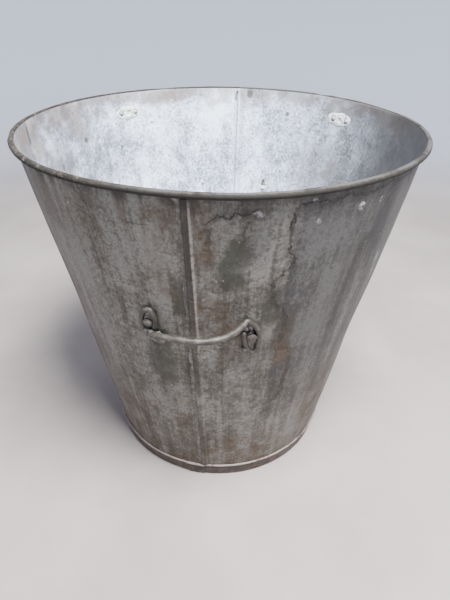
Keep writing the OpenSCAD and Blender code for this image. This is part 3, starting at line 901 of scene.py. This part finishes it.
def wall_sheet(turn):
    """Half of the wall with its curl, from its hook on the front seam to its hook on the back seam. Also
    gives each face's finish: 0 is the outside and 1 the inside."""
    front, back = outer_hook(), inner_hook()
    wall_z = np.concatenate([
        [WALL_Z0, 8, 16, 24, SEAM_Z0 - 1.2], np.linspace(SEAM_Z0, SEAM_Z1, WALL_ROWS),
        [SEAM_Z1 + 1, CURL_Z - 1.8, CURL_Z + (CURL_R - SHEET_T) * math.sin(LEAN)]])
    rows = [wall_row(turn, z, front, back) for z in wall_z]
    rows += [curl_row(turn, bent, front, back) for bent in np.linspace(0, CURL_TURN, CURL_ROWS)[1:]]
    count, columns = len(rows), len(rows[0])
    half = columns // 2
    faces = grid_faces(count, columns).tolist()
    finish = [int(k >= half) for _ in range(count - 1) for k in range(columns)]
    for start in (0, (count - 1) * columns):
        faces += [[start + k, start + k + 1, start + columns - 2 - k, start + columns - 1 - k]
                  for k in range(half - 1)]
        finish += [0] * (half - 1)
    return (np.concatenate(rows), faces), finish


for name, node, turn in (("right_wall", "wall_sheet_right", 0), ("left_wall", "wall_sheet_left", math.pi)):
    shape, face_finish = wall_sheet(turn)
    make_piece(name, shape, [outside, inside], [node], face_finish=face_finish)


# ---------------- rim wire, bottom and their solder
def ring_section(azimuth, section):
    """A closed section of (radius, height) points carried round the azimuths."""
    section = np.asarray(section, float)
    return place(azimuth[:, None], section[None, :, 0], section[None, :, 1])


def rim_wire():
    """The wire inside the rolled rim, its two ends meeting at the right."""
    half_gap = 0.003
    azimuth = 96 * DEG + np.linspace(half_gap, FULL_TURN - half_gap, WIRE_STEPS)
    a = circle(WIRE_SIDES)
    section = np.stack([CURL_X + WIRE_R * np.cos(a), CURL_Z + WIRE_R * np.sin(a)], -1)
    return loop_shape(ring_section(azimuth, section))


def bottom_disc():
    """Flat disc with a soft corner to a flange turned down, its middle a little hollow from use."""
    inner = SHEET_T / math.cos(LEAN) + 0.1
    corner = 2.2
    azimuth = circle(BOTTOM_STEPS)
    r_top, r_low = wall_r(BOTTOM_Z) - inner, wall_r(BOTTOM_Z - FLANGE_H) - inner
    a = np.linspace(0, math.pi / 2, 6)
    profile = [(r, 0) for r in np.linspace(0.6, r_top - corner, 30)]
    profile += [(r_top - corner + corner * math.sin(t), corner * (math.cos(t) - 1)) for t in a[1:]]
    profile += [(r_low, -FLANGE_H), (r_low - SHEET_T, -FLANGE_H), (r_top - SHEET_T, -corner)]
    profile += [(r, -SHEET_T) for r in np.linspace(r_top - corner - SHEET_T / 2, 0.6, 30)]
    rows = []
    for r, drop in profile:
        p = turned(azimuth, r, 0)
        sag = (0.9 * lumps(p, 190, 21) - 1.4) * smooth(r, r_top - 6, 60)
        rows.append(turned(azimuth, r, BOTTOM_Z + drop + sag) * MM)
    return loop_shape(rows)


def bottom_solder():
    """A lumpy fillet in the corner between the bottom and the wall."""
    inner = SHEET_T / math.cos(LEAN) + 0.05
    rows = []
    for angle in circle(FILLET_STEPS):
        p = turned(angle, FOOT_LUMP_R, 0)
        leg = FILLET_LEG + 1.1 * lumps(p, 34, 22) + 0.7 * lumps(p, 9, 23)
        z0 = BOTTOM_Z + 0.05
        low_r, high_r = wall_r(z0) - inner, wall_r(z0 + leg) - inner
        t = np.linspace(0, 1, 7)
        hollow = leg * 0.22 * np.sin(math.pi * t)
        face_r = low_r - leg + (high_r - low_r + leg) * t + hollow
        face_z = z0 + leg * t - hollow
        section = np.concatenate([np.stack([face_r, face_z], -1), [(low_r, z0)]])
        rows.append(turned(angle, section[:, 0], section[:, 1]) * MM)
    return loop_shape(rows, wrap_rows=True)


make_piece("wire_in_rim", rim_wire(), [wire_iron], ["rim_wire"])
make_piece("tub_bottom", bottom_disc(), [inside], ["bottom_disc"])
make_piece("bottom_solder_fillet", bottom_solder(), [solder], ["bottom_solder"])


# ---------------- seam solder
def seam_solder(turn, seed):
    """Solder run along a seam's fold: a lumpy strip that is wider under the rim."""
    x_fold = -SEAM_W / 2 + 0.5
    t = np.linspace(0, 1, 9)
    rows = []
    for z in np.linspace(SEAM_Z1 - 0.3, SEAM_Z0 + 0.4, SEAM_SOLDER_ROWS):
        p = np.array([seed * 100.0, 0, z])
        top = math.exp(-(((z - SEAM_Z1) / 6) ** 2))
        wide = SEAM_SOLDER_W + 1.2 * lumps(p, 26, seed) + 0.8 * lumps(p, 8, seed + 1) + 5 * top
        high = SEAM_SOLDER_H + 0.3 * lumps(p, 12, seed + 2) + 0.9 * top
        end = min(1, (SEAM_Z1 - z) / 2.5, (z - SEAM_Z0) / 2.5) ** 0.5
        x = x_fold - wide * (1 - t)
        grain = lumps(np.stack([x, 0 * x, z + 0 * x], -1), 4, seed + 3)
        w = 0.05 + high * end * (t ** 1.3) + 0.12 * grain * t
        section = np.stack([np.append(x, [x[-1], x[0]]), np.append(w, [-0.2, -0.2])], -1)
        rows.append(on_wall(turn + section[:, 0] / wall_r(z), z, section[:, 1]))
    return loop_shape(rows)


make_piece("front_seam_solder_run", seam_solder(0, 31), [solder], ["front_seam_solder"])
make_piece("back_seam_solder_run", seam_solder(math.pi, 41), [solder], ["back_seam_solder"])


# ---------------- foot hoop
def foot_hoop():
    """A strip round the foot with a bead along its top. Its end laps over its start at the front."""
    gap = LAYER_GAP / 2
    a = np.linspace(-math.pi / 3, math.pi / 2, 11)
    outer = [(HOOP_T, z) for z in np.linspace(0, BEAD_Z - BEAD_R - 0.3, 9)]
    bead = [(0.1 + BEAD_R * math.cos(t), BEAD_Z + BEAD_R * math.sin(t)) for t in a]
    inner = [(0, z) for z in np.linspace(HOOP_TOP - 0.4, 0, 6)]
    section = np.array(outer + bead + inner)
    rows = []
    for angle in np.linspace(-LAP_ANGLE, FULL_TURN, HOOP_STEPS):
        lap = FULL_TURN - LAP_ANGLE
        lift = (HOOP_T + 0.1) * smooth(angle, lap - 2.5 * DEG, lap + 1.5 * DEG)
        p = turned(angle, FOOT_LUMP_R, section[:, 1])
        wobble = 0.22 * lumps(p, 45, 51) + 0.12 * lumps(p, 14, 52)
        worn = 0.55 + 0.35 * lumps(turned(angle, FOOT_LUMP_R, 0), 60, 53)
        r = wall_r(section[:, 1]) + gap + section[:, 0] + lift + wobble * (section[:, 0] > 0)
        z = section[:, 1] + smooth(section[:, 1], 6, 0) * worn
        rows.append(turned(angle, r, z) * MM)
    return loop_shape(rows)


def ring_at(count, r, w):
    """Points of a circle at a height over the wall."""
    a = circle(count)
    return np.stack([r * np.cos(a), r * np.sin(a), np.full(count, w)], -1)


LATHE_WEAR = 0.15


def lathe(put, profile, seed):
    """A worn round shape from its profile of (radius, height) points, stood on the wall by put."""
    rows = []
    for r, w in profile:
        p = ring_at(LATHE_STEPS, r, w)
        worn = p * (1 + LATHE_WEAR * 0.35 * lumps(p, 7, seed)[:, None] * np.array([1, 1, 0]))
        worn[:, 2] += LATHE_WEAR * lumps(p, 4, seed + 1) * min(1, r / 2)
        rows.append(put(worn))
    return loop_shape(rows)


def dome(r, h, base, way=1):
    """Profile of a round head from its rim to its top, standing on a base height."""
    ball = (r * r + h * h) / (2 * h)
    reach = math.asin(min(1, r / ball))
    a = np.linspace(reach, 0.02, 9)
    return [(ball * math.sin(t), base + way * (ball * math.cos(t) - ball + h)) for t in a]


def hoop_rivet(share, seed):
    """A rivet of the hoop's lap, at that share of the lap's width."""
    base = HOOP_T * 2 + LAYER_GAP / 2 - 0.1

    def put(local):
        x, y, w = local.T
        return turned(x / FOOT_R - share * LAP_ANGLE, wall_r(HOOP_RIVET_Z + y) + w, HOOP_RIVET_Z + y) * MM

    shank = [(HOOP_SHANK_R, 0.1), (HOOP_SHANK_R, base - 0.1), (HOOP_HEAD_R + 0.1, base)]
    return lathe(put, shank + dome(HOOP_HEAD_R, HOOP_HEAD_H, base), seed)


make_piece("foot_hoop_strip", foot_hoop(), [hoop_iron], ["foot_hoop"])
make_piece("foot_hoop_lap_rivets", joined([hoop_rivet(0.28, 55), hoop_rivet(0.72, 57)]), [hoop_iron],
           ["foot_hoop_rivets"])


# ---------------- handles
def eye_point(i, t):
    """A point of eye i's oval at the angle t from where the grip joins it: along, up and out."""
    side = 2 * i - 1
    x = side * (EYE_HALF_W * np.sin(t) - EYE_PULL[i] * np.maximum(0, np.cos(t)) ** 2)
    y = side * EYE_HALF_H[i] * np.cos(t)
    a = side * EYE_SPLAY
    along = EYE_MIDDLES[i][0] + x * math.cos(a) - y * math.sin(a)
    up = EYE_MIDDLES[i][1] + x * math.sin(a) + y * math.cos(a)
    return np.stack([along, up, np.full(np.shape(along), ROD_W)], -1)


def handle_route():
    """The rod's middle line and radii: round the left eye, along the bowed grip and round the right eye."""
    t = np.linspace(0, EYE_TURN, EYE_STEPS)
    q = np.linspace(-1, 1, EYE_STEPS)[1:-1, None]
    start, end = eye_point(0, 0.0), eye_point(1, 0.0)
    middle, half = (start + end) / 2, (end - start) / 2
    bow = ROD_W + (GRIP_BOW - ROD_W) * (1 - q * q) ** 0.75
    grip = np.concatenate([middle[0] + half[0] * q, middle[1] + half[1] * q ** 3, bow], -1)
    eye_radii = np.full(len(t), ROD_R)
    grip_radii = ROD_R + (GRIP_R - ROD_R) * np.sqrt(1 - q[:, 0] ** 2)
    return (np.concatenate([eye_point(0, t[::-1]), grip, eye_point(1, t)]),
            np.concatenate([eye_radii, grip_radii, eye_radii]))


def rod(path, radii, seed):
    """A round rod along a path in metres, with hammer marks and softly rounded ends."""
    along = unit(np.gradient(path, axis=0))
    out = unit(path * np.array([1, 1, 0]))
    out[:, 2] = -math.tan(LEAN)
    side = unit(out - (out * along).sum(1, keepdims=True) * along)
    other = np.cross(along, side)
    walked = np.concatenate([[0], np.cumsum(np.linalg.norm(np.diff(path, axis=0), axis=1))]) / MM
    from_end = np.minimum(walked, walked[-1] - walked)
    blunt = np.sqrt(np.clip(1 - (1 - np.clip(from_end / 2.5, 0.02, 1)) ** 2, 0, 1))
    a = circle(ROD_SIDES)
    spread = side[:, None] * np.cos(a)[None, :, None] + other[:, None] * np.sin(a)[None, :, None]
    p = path[:, None] / MM + spread * radii[:, None, None]
    thick = radii[:, None] - 0.10 + 0.16 * lumps(p, 13, seed) + 0.08 * lumps(p, 5, seed + 1)
    thick = thick * blunt[:, None]
    return loop_shape(path[:, None] + spread * thick[..., None] * MM)


MERGE_VOXEL = 0.8


def merged(name, shape):
    """A shape's overlapping shells joined into one skin by a fine remesh, as vertices and faces."""
    mesh = closed_mesh(name, shape)
    obj = put_in_scene(name, mesh)
    remesh = obj.modifiers.new("remesh", "REMESH")
    remesh.mode = "VOXEL"
    remesh.voxel_size = MERGE_VOXEL * MM
    obj.modifiers.new("smooth", "SMOOTH").iterations = 3
    whole = bpy.data.meshes.new_from_object(obj.evaluated_get(bpy.context.evaluated_depsgraph_get()))
    verts = np.array([vertex.co for vertex in whole.vertices])
    faces = [list(face.vertices) for face in whole.polygons]
    bpy.data.objects.remove(obj)
    bpy.data.meshes.remove(mesh)
    bpy.data.meshes.remove(whole)
    return verts, faces


def ball(put, centre, radii, seed):
    """A lumpy ball on the wall."""
    up = np.linspace(0.06, math.pi - 0.06, 14)[:, None]
    about = circle(BALL_STEPS)[None, :]
    way = np.stack([np.sin(up) * np.cos(about), np.sin(up) * np.sin(about), np.cos(up) + 0 * about], -1)
    p = way * np.asarray(radii)
    p = p * (1 + 0.22 * lumps(p + seed * 50.0, 5, seed)[..., None])
    return loop_shape(put(p + np.asarray(centre)))


def solder_lump(name, put, balls, seed):
    """Balls of solder run together on the wall."""
    shells = [ball(put, centre, radii, seed + k) for k, (centre, radii) in enumerate(balls)]
    return merged(name, joined(shells))


def eye_rivet(put, seed):
    """A rivet through an eye: its head on the rod, and inside its tail, whose faces have finish 1."""
    bear = ROD_W + math.sqrt(ROD_R ** 2 - (EYE_HALF_W - EYE_HEAD_R) ** 2) + 0.05
    tail = -SHEET_T - 1.6
    shank = [(EYE_SHANK_R, tail + 0.05), (EYE_SHANK_R, 0.05)]
    closed_end = dome(EYE_TAIL_R, EYE_TAIL_H, tail, -1)[::-1] + shank
    neck = [(5.0, 0.1), (5.3, bear - 0.5), (EYE_HEAD_R, bear)]
    shape = lathe(put, closed_end + neck + dome(EYE_HEAD_R, EYE_HEAD_H, bear + 0.1), seed)
    return shape, [int(max(face) < len(closed_end) * LATHE_STEPS) for face in shape[1]]


def eye_burr(put):
    """The washer that a rivet's tail is closed over."""
    gap, edge = 0.05, 0.3
    high = -SHEET_T - gap
    low = high - BURR_T
    hole = EYE_SHANK_R + gap
    section = [(hole, low), (BURR_R - edge, low), (BURR_R, low + edge), (BURR_R, high), (hole, high)]
    return loop_shape([put(ring_at(BURR_STEPS, r, w)) for r, w in section], wrap_rows=True)


# Solder where an eye closes on the grip: the middle of each lump along, up and out, and its half sizes
LEFT_SOLDER = [((-61, -9, 4.5), (6.5, 5.5, 4.8)), ((-55, -12, 5.5), (7.0, 6.5, 5.2)),
               ((-48.5, -14, 5.8), (6.5, 6.0, 5.0)), ((-58, -19, 4.8), (7.0, 5.0, 4.8)),
               ((-51, -21, 5.0), (6.0, 4.4, 4.6)), ((-41.5, -18.5, 8.0), (6.0, 4.8, 4.8)),
               ((-58, 11, 1.6), (8.0, 15, 3.8))]
RIGHT_SOLDER = [((67, -34, 3.2), (4.2, 5.0, 4.2)), ((72, -39, 3.4), (5.0, 3.8, 4.0)),
                 ((66, 6, 3.0), (3.0, 5.0, 3.0)), ((74, -20, 1.8), (8.0, 19, 3.6)),
                ((73, 8, 1.2), (5.0, 9.0, 2.4))]


def handle(side, turn, rod_seed, ends):
    """A handle with its solder, rivets and burrs. The ends name its left and right eye as seen from the
    front of the tub, which for the back handle are the other way round."""
    put = near(turn, HANDLE_Z)
    route, radii = handle_route()
    make_piece(f"{side}_rod_handle", rod(put(route), radii, rod_seed), [rod_iron],
               [f"{side}_handle"], sharp=60)
    for i, (own_end, end, balls) in enumerate(zip(("left", "right"), ends, (LEFT_SOLDER, RIGHT_SOLDER))):
        lump = solder_lump(f"{side}_{own_end}_lump", put, balls, 71 + i)
        make_piece(f"{side}_{own_end}_eye_solder", lump, [solder], sharp=80)
        along, up = EYE_MIDDLES[i]
        at_eye = near(turn + along / wall_r(HANDLE_Z), HANDLE_Z + up * math.cos(LEAN))
        rivet, on_tail = eye_rivet(at_eye, 81 + i)
        make_piece(f"{side}_{end}_eye_rivet", rivet, [rivet_iron, white_solder],
                   [f"{side}_{end}_handle_rivet"], face_finish=on_tail)
        make_piece(f"{side}_{end}_eye_burr", eye_burr(at_eye), [inside],
                   [f"{side}_{end}_handle_burr"])


handle("front", 0, 61, ("left", "right"))
handle("back", math.pi, 64, ("right", "left"))


# ---------------- upper rivets, patches and plug
def blob(put, half_w, half_h, thick, seed, way=1, dimples=()):
    """A lumpy pad on the wall: way is 1 on the wall's outside and -1 on its inside."""
    a = circle(BLOB_STEPS)
    base = 0.0 if way > 0 else -SHEET_T
    reach = 1 + 0.10 * lumps(np.stack([np.cos(a), np.sin(a), 0 * a], -1) * 12, 9, seed)
    across, up = half_w * reach * np.cos(a), half_h * reach * np.sin(a)
    rows = []
    for share in np.linspace(0.03, 1, 15):
        x, y = share * across, share * up
        p = np.stack([x, y, 0 * x + seed], -1)
        uneven = 1 + 0.35 * lumps(p, 7, seed + 1) + 0.15 * lumps(p, 3, seed + 2)
        high = thick * (1 - share ** 3) ** 0.6 * uneven
        for dx, dy, r in dimples:
            high = high * smooth(np.hypot(x - dx, y - dy), r * 0.8, r * 1.25)
        rows.append(put(np.stack([x, y, base + way * np.maximum(high, 0.03)], -1)))
    for share in (0.98, 0.5, 0.03):
        rows.append(put(np.stack([share * across, share * up, np.full(len(a), base - way * 0.15)], -1)))
    return loop_shape(rows)


def old_rivet(put, seed):
    """A small rivet through the wall, with a round head on both sides."""
    head = dome(OLD_HEAD_R, OLD_HEAD_H, 0.1)[::-1]
    shank = [(OLD_SHANK_R, 0.05), (OLD_SHANK_R, -SHEET_T), (OLD_TAIL_R, -SHEET_T - 0.1)]
    return lathe(put, head + shank + dome(OLD_TAIL_R, OLD_TAIL_H, -SHEET_T - 0.15, -1), seed)


RIVET_X = (-PAIR_PITCH / 2, PAIR_PITCH / 2)
DIMPLES = [(RIVET_X[0], 0, 5.0), (RIVET_X[1], 0, 5.0), (0, -1, 3.5)]
for side, seed in (("left", 94), ("right", 96)):
    middle = PAIR_AZIMUTH[side]
    heads = [old_rivet(near(middle + x / wall_r(PAIR_Z), PAIR_Z), 91 + k) for k, x in enumerate(RIVET_X)]
    make_piece(f"back_{side}_rivet_pair", joined(heads), [tinned],
               [f"back_{side}_upper_rivets"])
    patch = blob(near(middle, PAIR_Z), half_w=26, half_h=12, thick=1.15, seed=seed, way=-1, dimples=DIMPLES)
    make_piece(f"back_{side}_rivet_solder", patch, [white_solder], [f"back_{side}_solder_patch"])

plug = blob(near(PLUG_ANGLE, PAIR_Z), half_w=5.2, half_h=6.4, thick=2.0, seed=99)
make_piece("front_right_plug", plug, [pale_solder], ["front_right_solder_plug"])


# ---------------- studio
FLOOR_LOW = (0.25, 0.217, 0.205)
FLOOR_HIGH = (0.31, 0.270, 0.255)
BACKDROP = (0.32, 0.35, 0.415)


def studio():
    """A pale floor that curves up into a pale round backdrop."""
    f = Finish("studio_floor", metallic=0.0)
    soft = f.noise(300)
    f.colour = FLOOR_LOW
    f.coat(soft.step(0.3, 0.7), FLOOR_HIGH)
    f.coat((f.r * MM).step(1.2, 2.4), BACKDROP)
    finish = f.done(0.8, soft, 0.1)
    reach, corner, top = 2.6, 0.9, 3.4
    a = np.linspace(0, math.pi / 2, 14)
    r = np.concatenate([[0.02, 0.5, 1.1], reach - corner + corner * np.sin(a), [reach]])
    z = np.concatenate([[0, 0, 0], corner - corner * np.cos(a), [top]])
    azimuth = circle(COVE_STEPS)
    rows = np.array([turned(azimuth, one_r, one_z) for one_r, one_z in zip(r, z)])
    count, columns = rows.shape[:2]
    faces = grid_faces(count, columns)[:, ::-1].tolist()
    faces.append(list(range(columns)))
    mesh = bpy.data.meshes.new("studio_cove")
    mesh.from_pydata(rows.reshape(-1, 3).tolist(), [], faces)
    mesh.materials.append(finish)
    mesh.shade_smooth()
    put_in_scene("studio_cove", mesh)


def softbox(name, where, aim, width, power, colour):
    """A soft square light, turned towards a point."""
    data = bpy.data.lights.new(name, "AREA")
    data.shape = "SQUARE"
    data.size = width
    data.energy = power
    data.color = colour
    lamp = put_in_scene(name, data)
    lamp.location = where
    lamp.rotation_euler = (Vector(aim) - Vector(where)).to_track_quat("-Z", "Y").to_euler()


def camera():
    """The camera: its place, heading and tilt give the view of the tub, a little above the rim."""
    where = Vector((0.0973, -0.7440, 0.7330))
    heading, tilt, roll = -6.76 * DEG, 33.08 * DEG, 0.71 * DEG
    level_reach = math.cos(tilt)
    forward = Vector((math.sin(heading) * level_reach, math.cos(heading) * level_reach, -math.sin(tilt)))
    level = Vector((math.cos(heading), -math.sin(heading), 0))
    upright = level.cross(forward)
    right = math.cos(roll) * level + math.sin(roll) * upright
    up = math.cos(roll) * upright - math.sin(roll) * level
    data = bpy.data.cameras.new("camera")
    data.lens = 28.92
    data.sensor_width = 36
    data.clip_start = 0.02
    shot = put_in_scene("camera", data)
    shot.matrix_world = Matrix.Translation(where) @ Matrix((right, up, -forward)).transposed().to_4x4()
    bpy.context.scene.camera = shot


def daylight(colour, strength):
    """An even light from all round."""
    world = bpy.data.worlds.new("studio_light")
    world.use_nodes = True
    background = world.node_tree.nodes["Background"]
    background.inputs["Color"].default_value = (*colour, 1)
    background.inputs["Strength"].default_value = strength
    bpy.context.scene.world = world


studio()
camera()
daylight(colour=(0.86, 0.92, 1.0), strength=0.33)
softbox("key_softbox", where=(0.52, -0.74, 2.53), aim=(0, 0, 0.35), width=0.9, power=365,
        colour=(0.98, 0.99, 1.0))
softbox("overhead_softbox", where=(0.1, -0.2, 2.9), aim=(0, 0, 0.4), width=2.2, power=30,
        colour=(0.95, 0.97, 1.0))
